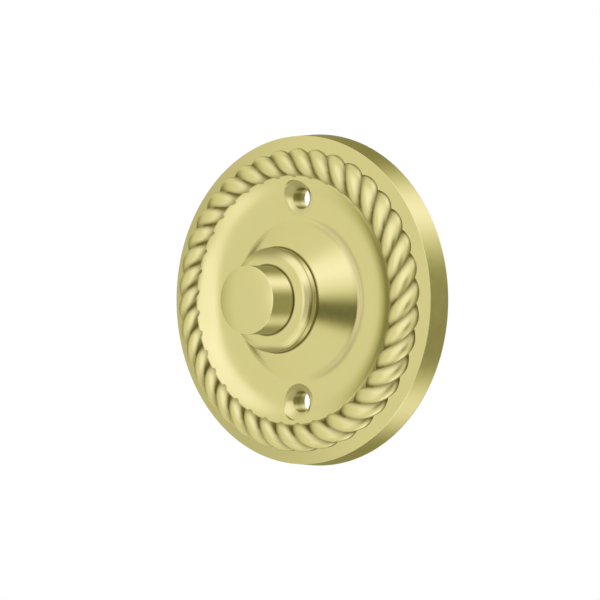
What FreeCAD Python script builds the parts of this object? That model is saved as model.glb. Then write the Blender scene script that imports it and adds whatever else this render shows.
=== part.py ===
"""Round brass doorbell push: a rope-edged back plate with a domed push button.

Millimetres. The origin is the centre of the wall plane on the button's axis. The wall lies at
Y = 0, the button looks along -Y and Z is up. A height called front is a distance from the wall
towards the viewer, so a point at front f has Y = -f. Heights that start at the flat rim's front
face are called rise.
"""

import FreeCAD
import Part
import Sketcher
import math
import os
import re

# Driving sizes: name, value in millimetres (angles in degrees), what it measures.
SIZES = [
    ("rim_back_radius", 30.0, "outer radius of the plate where it meets the wall"),
    ("rim_draft", 0.4, "how much the rim's wall draws in towards the front"),
    ("rim_thickness", 4.8, "front face of the flat rim above the wall"),
    ("rim_edge_bevel", 0.3, "bevel on the front edge of the rim"),
    ("back_land", 3.0, "width of the ring that bears on the wall"),
    ("back_recess", 1.1, "depth of the relief behind the plate"),
    ("rope_inset", 5.1, "rope's centre line inside the rim's front edge"),
    ("rope_rise", 0.75, "rise of the rope's centre line"),
    ("strand_radius", 2.85, "section radius of the rope over the crest of a strand"),
    ("strand_depth", 0.6, "depth of the valley between two strands"),
    ("strand_twist", 4.3, "how far a strand turns round the plate per radian round the rope"),
    ("strand_phase", 0.35, "place of the first valley, from the right hand side"),
    ("rope_root", 1.5, "how deep the rope is rooted in the rim"),
    ("cove_inset", 2.05, "cove's outer lip inside the rope's centre line"),
    ("cove_rise", 2.6, "rise of the cove's outer lip"),
    ("cove_share", 0.276, "part of the way from the lip to the boss that the cove takes"),
    ("cove_round", 4.0, "round where the cove meets the field"),
    ("field_rise", 0.25, "rise of the sunk field between rope and boss"),
    ("slope_share", 0.3655, "part of the way from the lip to the boss that the boss's side takes"),
    ("boss_margin", 0.1, "land of the boss outside the collar"),
    ("boss_rise", 6.6, "rise of the boss's top land"),
    ("boss_round", 2.5, "round at the foot of the boss"),
    ("round_room", 0.9, "largest round at either foot, as a part of the field's width"),
    ("screw_inset", 4.1, "screw holes inside the cove's outer lip"),
    ("screw_hole_radius", 1.95, "clearance hole for a No. 6 wood screw"),
    ("countersink_radius", 3.3, "radius of the countersink for the screw's head"),
    ("countersink_rise", 0.9, "rise at which the countersink has its full radius"),
    ("cut_margin", 1.0, "how far a cutting shape runs past what it cuts"),
    ("barrel_radius", 7.9, "outside of the five eighths inch threaded barrel"),
    ("barrel_wall", 0.9, "wall of the barrel behind the guide"),
    ("barrel_behind", 3.0, "how far the barrel reaches behind the wall plane"),
    ("plate_play", 0.1, "play of the barrel in the plate"),
    ("collar_flange", 1.5, "how far the collar's flange stands out from the barrel"),
    ("collar_side", 1.45, "height of the flange's straight side"),
    ("shoulder_width", 1.3, "width of the shoulder between that side and the face"),
    ("collar_lip_drop", 0.35, "fall of the face from the bore to the shoulder"),
    ("collar_face_rise", 2.7, "height of the face at the bore above the boss"),
    ("collar_base_bevel", 0.15, "bevel under the flange, which shows as a fine dark line"),
    ("guide_length", 5.1, "length of the bore that guides the button"),
    ("flange_play", 0.15, "play of the button's flange in the barrel"),
    ("flange_step", 0.65, "how far that flange reaches behind the guide"),
    ("button_play", 0.08, "running clearance of the button in its guide"),
    ("button_stand", 5.6, "how far the dome's edge stands out of the collar"),
    ("button_dome", 0.9, "height of the dome"),
    ("dome_edge_bevel", 0.12, "bevel on the dome's edge"),
    ("button_flange", 1.2, "thickness of the button's flange"),
    ("button_float", 0.1, "play between that flange and the guide's end at rest"),
    ("button_wall", 1.72, "wall between the button's side and the spring's bore"),
    ("button_roof", 5.1, "metal left between that bore and the dome's top"),
    ("travel", 2.2, "how far the button goes in"),
    ("nut_wall", 1.6, "wall of the clamp nut at the middle of a flat"),
    ("nut_thickness", 3.0, "thickness of the clamp nut"),
    ("nut_bevel", 0.5, "bevel on the nut's corners"),
    ("nut_room", 0.73, "room round the nut's corners in its pocket"),
    ("nut_floor_rise", 1.2, "rise of that pocket's floor, where the lock washer bears"),
    ("washer_rim", 1.1, "how far the lock washer reaches past the nut's flats"),
    ("washer_thickness", 0.8, "thickness of the lock washer"),
    ("notch_depth", 0.9, "depth of the lock washer's notches"),
    ("notch_width", 0.9, "width of those notches at the washer's edge"),
    ("thread_play", 0.06, "play between mating threads"),
    ("skirt_wall", 1.7, "wall of the switch base outside the barrel"),
    ("base_floor", 3.0, "thickness of the switch base's floor"),
    ("base_bevel", 0.3, "bevel on the back edge of the switch base"),
    ("base_skirt", 3.8, "height of the skirt that screws on the barrel"),
    ("chamber_height", 4.6, "height of the wall round the contact chamber"),
    ("chamber_wall", 1.1, "thickness of that wall"),
    ("chamber_play", 0.1, "play between that wall and the barrel's bore"),
    ("rib_width", 1.0, "thickness of the rib between the terminals"),
    ("rib_inset", 2.6, "ends of that rib inside the base's edge"),
    ("rib_height", 1.6, "height of the rib between the terminals"),
    ("seat_thickness", 0.6, "thickness of the fibre disc that seats the spring"),
    ("seat_room", 0.4, "room round the plunger in that disc"),
    ("spring_inset", 0.7, "middle of the spring's wire inside the button's bore"),
    ("spring_wire", 0.6, "thickness of the spring's square wire"),
    ("spring_turns", 4.0, "turns of the return spring"),
    ("pin_radius", 1.0, "radius of the plunger pin"),
    ("pin_socket", 2.0, "how deep the pin is pressed into the button"),
    ("spigot_step", 0.4, "how much thinner the pin's end is inside its tip"),
    ("spigot_length", 2.0, "length of that end"),
    ("tip_wall", 0.4, "how far the insulating tip stands out round the pin"),
    ("tip_length", 3.4, "length of the insulating tip"),
    ("tip_bevel", 0.45, "bevel on the tip's end"),
    ("free_travel", 0.4, "travel of the button before its tip meets the leaf"),
    ("over_travel", 0.6, "travel of the button after its contacts have met"),
    ("contact_radius", 0.6, "radius of the silver contacts"),
    ("contact_height", 0.4, "height of each silver contact"),
    ("contact_room", 0.1, "room between a contact and the insert's head"),
    ("contact_lap", 0.1, "how far the strip and the leaf reach past their contacts"),
    ("strip_thickness", 0.4, "thickness of the fixed contact strip"),
    ("strip_width", 3.0, "width of the strip and of the leaf"),
    ("leaf_thickness", 0.25, "thickness of the contact leaf"),
    ("leaf_foot", 1.5, "how far the leaf lies on the floor inside its terminal"),
    ("leaf_slope", 1.0, "how far its rising part runs inwards"),
    ("terminal_inset", 1.6, "terminals inside the chamber's wall"),
    ("insert_wall", 0.6, "wall of the brass insert round its screw"),
    ("insert_neck_radius", 0.9, "radius of the insert's neck through strip or leaf"),
    ("insert_head_lap", 0.3, "how far the insert's spun head laps over strip or leaf"),
    ("insert_head", 0.3, "thickness of the insert's spun head"),
    ("screw_radius", 1.1, "radius of the terminal screw's shank"),
    ("screw_length", 2.4, "length of the terminal screw in its insert"),
    ("screw_head_lap", 1.0, "how far the terminal screw's head stands out round its shank"),
    ("screw_head", 1.4, "height of the terminal screw's head"),
    ("screw_slot", 0.5, "width of the driver slot"),
    ("screw_slot_depth", 0.7, "depth of the driver slot"),
    ("terminal_washer_rim", 0.2, "how far the terminal washer shows round the screw's head"),
    ("terminal_washer", 0.5, "thickness of the terminal washer"),
]
# Sizes that follow from the driving ones: name, formula. A front is a distance before the wall.
FOLLOWING = {
    "rim_front_radius": "rim_back_radius - rim_draft",
    "back_land_radius": "rim_back_radius - back_land",
    "rope_radius": "rim_front_radius - rope_inset",
    "rope_front": "rim_thickness + rope_rise",
    "rope_foot_front": "rim_thickness - rope_root",
    "valley_radius": "strand_radius - strand_depth",
    "cove_radius": "rope_radius - cove_inset",
    "cove_front": "rim_thickness + cove_rise",
    "cove_foot_radius": "cove_radius - cove_share * (cove_radius - boss_radius)",
    "field_front": "rim_thickness + field_rise",
    "field_width": "cove_foot_radius - boss_foot_radius",
    "cove_foot_round": "min(cove_round; round_room * field_width)",
    "boss_foot_round": "min(boss_round; round_room * field_width)",
    "boss_foot_radius": "boss_radius + slope_share * (cove_radius - boss_radius)",
    "boss_radius": "collar_radius + boss_margin",
    "boss_front": "rim_thickness + boss_rise",
    "screw_place": "cove_radius - screw_inset",
    "countersink_front": "rim_thickness + countersink_rise",
    "countersink_depth": "countersink_radius - screw_hole_radius",
    "plate_bore_radius": "barrel_radius + plate_play",
    "collar_radius": "barrel_radius + collar_flange",
    "collar_lip_radius": "collar_radius - shoulder_width",
    "collar_face_front": "boss_front + collar_face_rise",
    "barrel_bore_radius": "barrel_radius - barrel_wall",
    "guide_radius": "button_flange_radius - flange_step",
    "guide_end_front": "collar_face_front - guide_length",
    "button_radius": "guide_radius - button_play",
    "button_edge_front": "collar_face_front + button_stand",
    "button_top_front": "button_edge_front + button_dome",
    "dome_radius": "(button_radius ^ 2 + button_dome ^ 2) / (2 * button_dome)",
    "button_flange_radius": "barrel_bore_radius - flange_play",
    "button_flange_front": "guide_end_front - button_float",
    "button_back_front": "button_flange_front - button_flange",
    "spring_bore_radius": "button_radius - button_wall",
    "spring_bore_front": "button_top_front - button_roof",
    "nut_flats": "2 * (barrel_radius + nut_wall)",
    "nut_reach": "nut_flats / sqrt(3)",
    "nut_cut_reach": "nut_reach + cut_margin",
    "nut_cut_height": "nut_bevel * (nut_cut_reach - nut_flats / 2) / (nut_reach - nut_flats / 2)",
    "nut_pocket_radius": "nut_reach + nut_room",
    "nut_pocket_front": "rim_thickness + nut_floor_rise",
    "nut_front": "nut_pocket_front - washer_thickness",
    "nut_back_front": "nut_front - nut_thickness",
    "washer_radius": "nut_flats / 2 + washer_rim",
    "nut_thread_radius": "barrel_radius + thread_play",
    "barrel_end_front": "-barrel_behind",
    "base_radius": "barrel_radius + skirt_wall",
    "base_back_front": "-barrel_behind - base_floor",
    "skirt_front": "base_skirt - barrel_behind",
    "chamber_outer_radius": "barrel_bore_radius - chamber_play",
    "chamber_radius": "chamber_outer_radius - chamber_wall",
    "chamber_front": "chamber_height - barrel_behind",
    "rib_length": "2 * (base_radius - rib_inset)",
    "seat_hole_radius": "tip_radius + seat_room",
    "seat_front": "chamber_front + seat_thickness",
    "spring_radius": "spring_bore_radius - spring_inset",
    "spring_inner_radius": "spring_radius - spring_wire / 2",
    "spring_outer_radius": "spring_radius + spring_wire / 2",
    "pin_end_front": "spring_bore_front + pin_socket",
    "pin_shoulder_front": "tip_end_front + tip_length",
    "spigot_radius": "pin_radius - spigot_step",
    "spigot_end_front": "pin_shoulder_front - spigot_length",
    "tip_radius": "pin_radius + tip_wall",
    "tip_end_front": "leaf_front + free_travel",
    "contact_gap": "travel - free_travel - over_travel",
    "contact_offset": "terminal_offset - insert_head_radius - contact_radius - contact_room",
    "strip_front": "strip_thickness - barrel_behind",
    "strip_end": "terminal_offset + insert_head_radius",
    "strip_tip": "contact_offset - contact_radius - contact_lap",
    "leaf_foot_front": "leaf_thickness - barrel_behind",
    "leaf_back_front": "strip_front + contact_gap + 2 * contact_height",
    "leaf_front": "leaf_back_front + leaf_thickness",
    "leaf_rise_outer": "terminal_offset - leaf_foot",
    "leaf_rise_inner": "leaf_rise_outer - leaf_slope",
    "leaf_tip": "contact_offset + contact_radius + contact_lap",
    "moving_contact_front": "leaf_back_front - contact_height",
    "terminal_offset": "chamber_radius - terminal_inset",
    "insert_radius": "screw_radius + insert_wall",
    "insert_hole_radius": "screw_radius + thread_play",
    "insert_hole_front": "screw_end_front + thread_play",
    "insert_head_radius": "insert_neck_radius + insert_head_lap",
    "screw_end_front": "base_back_front + screw_length",
    "screw_head_radius": "screw_radius + screw_head_lap",
    "screw_back_front": "washer_back_front - screw_head",
    "slot_floor_front": "screw_back_front + screw_slot_depth",
    "washer_back_front": "base_back_front - terminal_washer",
    "terminal_washer_radius": "screw_head_radius + terminal_washer_rim",
}
STRANDS = 37
NOTCHES = 12
# Places across a strand, from valley to valley, of the lines that its faces are ruled between.
STRAND_LINES = (0.0, 0.2, 0.5, 0.8, 1.0)
# Angles round the rope's section, from the plate's outside over the front, where a line runs.
LINE_START = -30.0
LINE_END = 160.0
LINE_POINTS = 7

doc = FreeCAD.newDocument("doorbell_push")
sheet = doc.addObject("Spreadsheet::Sheet", "Sizes")
NODES = {}


def fill_sheet():
    """Write each driving size in a row of its own: name, value, note."""
    for row, (name, size, note) in enumerate(SIZES, start=1):
        sheet.set(f"A{row}", name)
        sheet.set(f"B{row}", str(size))
        sheet.set(f"C{row}", note)
        sheet.setAlias(f"B{row}", name)
    doc.recompute()


def reference(word):
    """A driving size's cell, a following size's own formula, or the word as it stands."""
    if word[0] in FOLLOWING:
        return f"({bound(FOLLOWING[word[0]])})"
    driving = [name for name, _, _ in SIZES if name == word[0]]
    return f"Sizes.{driving[0]}" if driving else word[0]


def bound(formula):
    """The formula with each size in it written as a reference to the sheet."""
    return re.sub("[a-z_]+", reference, formula)


def value(formula):
    """The formula's number, worked out from the sheet."""
    return float(sheet.evalExpression(bound(formula)))


def bind(thing, **formulas):
    """Tie properties of an object to formulas on the sheet."""
    for name, formula in formulas.items():
        thing.setExpression(name, bound(formula))


def shift(thing, x="0", front="0", z="0"):
    """Tie an object's place to formulas: x to the right, front towards the viewer, z up."""
    thing.setExpression(".Placement.Base.x", bound(x))
    thing.setExpression(".Placement.Base.y", bound(f"-({front})"))
    thing.setExpression(".Placement.Base.z", bound(z))


def new_body(name):
    body = doc.addObject("PartDesign::Body", name)
    body.Label = name
    return body


def sketch_on(body, name, role, front=None):
    """A sketch on one of the body's own origin planes, moved to a front where one is given."""
    sketch = body.newObject("Sketcher::SketchObject", name)
    plane = [item for item in body.Origin.OriginFeatures if item.Role == role][0]
    sketch.AttachmentSupport = [(plane, "")]
    sketch.MapMode = "FlatFace"
    if front is not None:
        sketch.setExpression(".AttachmentOffset.Base.z", bound(front))
    return sketch


def pin_point(sketch, curve, end, across, ahead, flip):
    """Fix one end of a curve at formulas measured from the sketch's origin."""
    if across == "0":
        sketch.addConstraint(Sketcher.Constraint("PointOnObject", curve, end, -2))
    else:
        at = sketch.addConstraint(Sketcher.Constraint("DistanceX", -1, 1, curve, end, value(across)))
        sketch.setExpression(f"Constraints[{at}]", bound(across))
    if ahead == "0":
        sketch.addConstraint(Sketcher.Constraint("PointOnObject", curve, end, -1))
        return
    ends = (curve, end, -1, 1) if flip else (-1, 1, curve, end)
    at = sketch.addConstraint(Sketcher.Constraint("DistanceY", *ends, value(ahead)))
    sketch.setExpression(f"Constraints[{at}]", bound(ahead))


def outline(sketch, corners, flip=True):
    """Draw a closed outline, fully tied to the sheet.

    Each corner is (across, ahead) as formulas; flip measures ahead along the sketch's -Y. A
    corner with a third and fourth entry starts an arc of that radius, which turns to the left
    for "left" and to the right for "right", as drawn on the sheet.
    """
    sign = -1.0 if flip else 1.0
    points = [FreeCAD.Vector(value(c[0]), sign * value(c[1]), 0) for c in corners]
    ends = []
    for index, corner in enumerate(corners):
        start, stop = points[index], points[(index + 1) % len(points)]
        if len(corner) == 2:
            curve = sketch.addGeometry(Part.LineSegment(start, stop), False)
            ends.append((curve, 1, 2))
            continue
        radius, side = value(corner[2]), 1.0 if corner[3] == "left" else -1.0
        chord = stop - start
        reach = math.sqrt(max(radius**2 - (chord.Length / 2) ** 2, 0.0))
        normal = FreeCAD.Vector(-chord.y, chord.x, 0).normalize()
        centre = (start + stop) * 0.5 + normal * (side * reach)
        first, last = (start, stop) if side > 0 else (stop, start)
        angles = [math.atan2(p.y - centre.y, p.x - centre.x) for p in (first, last)]
        circle = Part.Circle(centre, FreeCAD.Vector(0, 0, 1), radius)
        curve = sketch.addGeometry(Part.ArcOfCircle(circle, angles[0], angles[1]), False)
        ends.append((curve, 1, 2) if side > 0 else (curve, 2, 1))
        if corner[0] == "0":
            sketch.addConstraint(Sketcher.Constraint("PointOnObject", curve, 3, -2))
            continue
        at = sketch.addConstraint(Sketcher.Constraint("Radius", curve, radius))
        sketch.setExpression(f"Constraints[{at}]", bound(corner[2]))
    for index, corner in enumerate(corners):
        curve, first, _ = ends[index]
        before, _, last = ends[index - 1]
        sketch.addConstraint(Sketcher.Constraint("Coincident", before, last, curve, first))
        pin_point(sketch, curve, first, corner[0], corner[1], flip)


def circles(sketch, *radii):
    """Circles about the sketch's origin, each tied to a formula."""
    for radius in radii:
        ring = Part.Circle(FreeCAD.Vector(), FreeCAD.Vector(0, 0, 1), value(radius))
        curve = sketch.addGeometry(ring, False)
        sketch.addConstraint(Sketcher.Constraint("Coincident", curve, 3, -1, 1))
        at = sketch.addConstraint(Sketcher.Constraint("Radius", curve, value(radius)))
        sketch.setExpression(f"Constraints[{at}]", bound(radius))


def hexagon(sketch, reach):
    """A regular hexagon about the sketch's origin, tied to the formula of its corners' radius."""
    radius = value(reach)
    turns = [math.radians(60 * k) for k in range(6)]
    corners = [FreeCAD.Vector(radius * math.cos(turn), radius * math.sin(turn), 0) for turn in turns]
    sides = [sketch.addGeometry(Part.LineSegment(corners[k - 1], corners[k]), False) for k in range(6)]
    ring = Part.Circle(FreeCAD.Vector(), FreeCAD.Vector(0, 0, 1), radius)
    guide = sketch.addGeometry(ring, True)
    sketch.addConstraint(Sketcher.Constraint("Coincident", guide, 3, -1, 1))
    for before, side in zip(sides[-1:] + sides, sides):
        sketch.addConstraint(Sketcher.Constraint("Coincident", before, 2, side, 1))
        sketch.addConstraint(Sketcher.Constraint("PointOnObject", side, 2, guide))
    for before, side in zip(sides, sides[1:]):
        sketch.addConstraint(Sketcher.Constraint("Equal", before, side))
    sketch.addConstraint(Sketcher.Constraint("PointOnObject", sides[0], 2, -1))
    at = sketch.addConstraint(Sketcher.Constraint("Radius", guide, radius))
    sketch.setExpression(f"Constraints[{at}]", bound(reach))


def turned(name, corners):
    """A body turned about the Y axis from an outline of (radius, front) corners."""
    body = new_body(name)
    sketch = sketch_on(body, name + "_profile", "XY_Plane")
    outline(sketch, corners)
    feature = body.newObject("PartDesign::Revolution", name + "_turning")
    feature.Profile = sketch
    feature.ReferenceAxis = (sketch, ["V_Axis"])
    feature.Angle = 360.0
    doc.recompute()
    return body


def ring_edges(shape, radius, front):
    """Names of the circular edges about the Y axis with this radius, at this front."""
    names = []
    for index, edge in enumerate(shape.Edges, start=1):
        if edge.Degenerated or not isinstance(edge.Curve, Part.Circle):
            continue
        if abs(edge.Curve.Radius - radius) < 1e-4 and abs(edge.Curve.Center.y + front) < 1e-4:
            names.append(f"Edge{index}")
    return names


def dress(body, kind, name, size, *rings):
    """Round or bevel the edges at (radius, front) formulas by a size from the sheet."""
    base = body.Tip
    found = [edge for ring in rings for edge in ring_edges(base.Shape, value(ring[0]), value(ring[1]))]
    feature = body.newObject(f"PartDesign::{kind}", name)
    feature.Base = (base, found)
    bind(feature, **{"Radius" if kind == "Fillet" else "Size": size})
    doc.recompute()


def keep(name, thing):
    """Take a finished object as the node of this name."""
    thing.Label = name
    NODES[name] = thing


def along_front(kind, name, x="0", front="0", z="0", **sizes):
    """A Part primitive that grows from the wall towards the viewer."""
    thing = doc.addObject(f"Part::{kind}", name)
    thing.Placement = FreeCAD.Placement(FreeCAD.Vector(), FreeCAD.Rotation(FreeCAD.Vector(1, 0, 0), 90))
    bind(thing, **sizes)
    shift(thing, x, front, z)
    return thing


def boolean(kind, name, base, tool):
    thing = doc.addObject(f"Part::{kind}", name)
    thing.Base = base
    thing.Tool = tool
    return thing


def plate_blank():
    """The plate without its rope: rim, cove, field and boss, hollowed behind for the nut."""
    body = turned("plate_blank", [
        ("rim_back_radius", "0"),
        ("rim_front_radius", "rim_thickness"),
        ("rope_radius", "rim_thickness"),
        ("cove_radius", "cove_front"),
        ("cove_foot_radius", "field_front"),
        ("boss_foot_radius", "field_front"),
        ("boss_radius", "boss_front"),
        ("plate_bore_radius", "boss_front"),
        ("plate_bore_radius", "nut_pocket_front"),
        ("nut_pocket_radius", "nut_pocket_front"),
        ("nut_pocket_radius", "back_recess"),
        ("back_land_radius", "back_recess"),
        ("back_land_radius", "0"),
    ])
    dress(body, "Chamfer", "rim_edge", "rim_edge_bevel", ("rim_front_radius", "rim_thickness"))
    dress(body, "Fillet", "boss_foot", "boss_foot_round", ("boss_foot_radius", "field_front"))
    dress(body, "Fillet", "cove_foot", "cove_foot_round", ("cove_foot_radius", "field_front"))
    return body


def strand_line(share):
    """The curve that runs round the rope's section at this share of the way across a strand.

    The section's radius swells from the valley to the crest and back as a parabola, and the
    curve turns about the plate's centre at a steady rate as it goes round the section.
    """
    radius = value("valley_radius") + value("strand_depth") * (1 - (2 * share - 1) ** 2)
    row = []
    for point in range(LINE_POINTS):
        angle = math.radians(LINE_START + (LINE_END - LINE_START) * point / (LINE_POINTS - 1))
        turn = math.radians(value("strand_phase") + 360.0 * share / STRANDS)
        turn -= math.radians(value("strand_twist")) * (angle - math.pi / 2)
        reach = value("rope_radius") + radius * math.cos(angle)
        front = value("rope_front") + radius * math.sin(angle)
        row.append(FreeCAD.Vector(reach * math.cos(turn), -front, reach * math.sin(turn)))
    curve = Part.BSplineCurve()
    curve.interpolate(row)
    return curve


def all_round(shape):
    """A copy of the shape for each strand, turned about the plate's axis."""
    copies = []
    for strand in range(STRANDS):
        turned_copy = shape.copy()
        turned_copy.rotate(FreeCAD.Vector(), FreeCAD.Vector(0, -1, 0), 360.0 * strand / STRANDS)
        copies.append(turned_copy)
    return copies


def rope_ring():
    """The rope as one closed ring: twisted strands on top, straight walls down to a flat root."""
    root = -value("rope_foot_front")
    lines = [strand_line(share) for share in STRAND_LINES]
    faces = []
    wires = []
    for line, after in zip(lines, lines[1:]):
        faces += all_round(Part.makeRuledSurface(line.toShape(), after.toShape()))
    for end in (0, -1):
        rim = [line.value(line.KnotSequence[end]) for line in lines]
        foot = [FreeCAD.Vector(point.x, root, point.z) for point in rim]
        tops = [Part.makeLine(*ends) for ends in zip(rim, rim[1:])]
        edges = [Part.makeLine(*ends) for ends in zip(foot, foot[1:])]
        for top, edge in zip(tops, edges):
            faces += all_round(Part.makeRuledSurface(top, edge))
        loop = [copy for edge in edges for copy in all_round(edge)]
        wires.append(Part.Wire(Part.__sortEdges__(loop)))
    faces.append(Part.makeFace(wires, "Part::FaceMakerBullseye"))
    skin = Part.makeShell(faces)
    skin.sewShape()
    ring = Part.makeSolid(skin.Shells[0])
    if ring.Volume < 0:
        ring.reverse()
    thing = doc.addObject("Part::Feature", "rope_ring")
    thing.Shape = ring
    return thing


def screw_hole_cutters():
    """Both countersunk holes: a clearance hole, its cone and the bore above the cone."""
    cone_back = "countersink_front - countersink_depth"
    throat = along_front("Cylinder", "hole_throat", z="screw_place", Radius="screw_hole_radius",
                         Height=cone_back)
    cone = along_front("Cone", "hole_cone", front=cone_back, z="screw_place",
                       Radius1="screw_hole_radius", Radius2="countersink_radius",
                       Height="countersink_depth")
    mouth = along_front("Cylinder", "hole_mouth", front="countersink_front", z="screw_place",
                        Radius="countersink_radius", Height="cove_rise + cut_margin")
    upper = doc.addObject("Part::MultiFuse", "upper_hole")
    upper.Shapes = [throat, cone, mouth]
    lower = doc.addObject("Part::Mirroring", "lower_hole")
    lower.Source = upper
    lower.Normal = (0, 0, 1)
    return upper, lower


def rope_edge_plate():
    """The plate: one casting with its rope, then the two screw holes."""
    plate = boolean("Fuse", "roped_plate", plate_blank(), rope_ring())
    for cutter in screw_hole_cutters():
        plate = boolean("Cut", cutter.Name + "_cut", plate, cutter)
    keep("rope_edge_plate", plate)


def button_collar():
    """The turned collar: a bevelled flange in front and a threaded barrel behind."""
    body = turned("collar_turning", [
        ("guide_radius", "guide_end_front"),
        ("guide_radius", "collar_face_front"),
        ("collar_lip_radius", "collar_face_front - collar_lip_drop"),
        ("collar_radius", "boss_front + collar_side"),
        ("collar_radius", "boss_front"),
        ("barrel_radius", "boss_front"),
        ("barrel_radius", "barrel_end_front"),
        ("barrel_bore_radius", "barrel_end_front"),
        ("barrel_bore_radius", "guide_end_front"),
    ])
    dress(body, "Chamfer", "collar_base", "collar_base_bevel", ("collar_radius", "boss_front"))
    keep("button_collar", body)


def clamp_nut():
    """A hexagon nut on the barrel: a padded hexagon, bored and with its corners turned off."""
    body = new_body("nut_body")
    sketch = sketch_on(body, "nut_hexagon", "XZ_Plane", "nut_back_front")
    hexagon(sketch, "nut_reach")
    circles(sketch, "nut_thread_radius")
    pad = body.newObject("PartDesign::Pad", "nut_pad")
    pad.Profile = sketch
    bind(pad, Length="nut_thickness")
    doc.recompute()
    corner_cut = sketch_on(body, "nut_corner_cut", "XY_Plane")
    outline(corner_cut, [
        ("nut_flats / 2", "nut_back_front"),
        ("nut_cut_reach", "nut_back_front"),
        ("nut_cut_reach", "nut_back_front + nut_cut_height"),
    ])
    groove = body.newObject("PartDesign::Groove", "nut_corners")
    groove.Profile = corner_cut
    groove.ReferenceAxis = (corner_cut, ["V_Axis"])
    groove.Angle = 360.0
    doc.recompute()
    keep("collar_clamp_nut", body)


def lock_washer():
    """The lock washer under the nut, with notches round its edge."""
    body = new_body("lock_washer_body")
    ring = sketch_on(body, "lock_washer_ring", "XZ_Plane", "nut_front")
    circles(ring, "washer_radius", "nut_thread_radius")
    pad = body.newObject("PartDesign::Pad", "lock_washer_pad")
    pad.Profile = ring
    bind(pad, Length="washer_thickness")
    doc.recompute()
    notch = sketch_on(body, "lock_washer_notch", "XZ_Plane", "nut_front")
    outline(notch, [
        ("washer_radius - notch_depth", "0"),
        ("washer_radius + notch_depth", "-notch_width"),
        ("washer_radius + notch_depth", "notch_width"),
    ], flip=False)
    cut = body.newObject("PartDesign::Pocket", "lock_washer_cut")
    cut.Profile = notch
    cut.Type = "ThroughAll"
    cut.Midplane = True
    pattern = body.newObject("PartDesign::PolarPattern", "lock_washer_notches")
    pattern.Originals = [cut]
    pattern.Axis = (notch, ["N_Axis"])
    pattern.Angle = 360
    pattern.Occurrences = NOTCHES
    body.Tip = pattern
    doc.recompute()
    keep("collar_lock_washer", body)


def push_button():
    """The turned button: a shallow dome, a retaining flange and a bore for the spring."""
    body = turned("button_turning", [
        ("0", "button_top_front", "dome_radius", "left"),
        ("button_radius", "button_edge_front"),
        ("button_radius", "button_flange_front"),
        ("button_flange_radius", "button_flange_front"),
        ("button_flange_radius", "button_back_front"),
        ("spring_bore_radius", "button_back_front"),
        ("spring_bore_radius", "spring_bore_front"),
        ("pin_radius", "spring_bore_front"),
        ("pin_radius", "pin_end_front"),
        ("0", "pin_end_front"),
    ])
    dress(body, "Chamfer", "dome_edge", "dome_edge_bevel", ("button_radius", "button_edge_front"))
    keep("push_button", body)


def plunger():
    """The pin pressed into the button and the insulating tip on its end."""
    keep("plunger_pin", turned("pin_turning", [
        ("0", "pin_end_front"),
        ("pin_radius", "pin_end_front"),
        ("pin_radius", "pin_shoulder_front"),
        ("spigot_radius", "pin_shoulder_front"),
        ("spigot_radius", "spigot_end_front"),
        ("0", "spigot_end_front"),
    ]))
    tip = turned("tip_moulding", [
        ("0", "spigot_end_front"),
        ("spigot_radius", "spigot_end_front"),
        ("spigot_radius", "pin_shoulder_front"),
        ("tip_radius", "pin_shoulder_front"),
        ("tip_radius", "tip_end_front"),
        ("0", "tip_end_front"),
    ])
    dress(tip, "Chamfer", "tip_end", "tip_bevel", ("tip_radius", "tip_end_front"))
    keep("plunger_tip", tip)


def return_spring():
    """A compression spring of square wire between the seat disc and the button's roof."""
    body = new_body("spring_body")
    sketch = sketch_on(body, "spring_wire_section", "XY_Plane")
    outline(sketch, [
        ("spring_inner_radius", "seat_front"),
        ("spring_outer_radius", "seat_front"),
        ("spring_outer_radius", "seat_front + spring_wire"),
        ("spring_inner_radius", "seat_front + spring_wire"),
    ])
    coil = body.newObject("PartDesign::AdditiveHelix", "spring_coil")
    coil.Profile = sketch
    coil.ReferenceAxis = (sketch, ["V_Axis"])
    coil.Mode = 2
    coil.Reversed = True
    bind(coil, Height="spring_bore_front - seat_front - spring_wire", Turns="spring_turns")
    doc.recompute()
    keep("button_return_spring", body)


def switch_base():
    """The moulded base: a floor, a skirt that screws on the barrel and a chamber wall inside."""
    body = turned("base_moulding", [
        ("0", "base_back_front"),
        ("base_radius", "base_back_front"),
        ("base_radius", "skirt_front"),
        ("nut_thread_radius", "skirt_front"),
        ("nut_thread_radius", "barrel_end_front"),
        ("chamber_outer_radius", "barrel_end_front"),
        ("chamber_outer_radius", "chamber_front"),
        ("chamber_radius", "chamber_front"),
        ("chamber_radius", "barrel_end_front"),
        ("0", "barrel_end_front"),
    ])
    dress(body, "Chamfer", "base_back_edge", "base_bevel", ("base_radius", "base_back_front"))
    rib = doc.addObject("Part::Box", "terminal_rib")
    bind(rib, Length="rib_width", Width="rib_height", Height="rib_length")
    shift(rib, "-rib_width / 2", "base_back_front", "-rib_length / 2")
    base = boolean("Fuse", "base_with_rib", body, rib)
    for side, name in ((-1, "left"), (1, "right")):
        hole = along_front("Cylinder", f"insert_hole_{name}", f"{side} * terminal_offset",
                           "base_back_front", Radius="insert_radius", Height="base_floor")
        base = boolean("Cut", f"base_cut_{name}", base, hole)
    keep("switch_base", base)


def spring_seat():
    """The fibre disc on the chamber's wall: it seats the spring and lets the plunger through."""
    keep("spring_seat_disc", turned("seat_disc", [
        ("seat_hole_radius", "chamber_front"),
        ("chamber_outer_radius", "chamber_front"),
        ("chamber_outer_radius", "seat_front"),
        ("seat_hole_radius", "seat_front"),
    ]))


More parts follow.
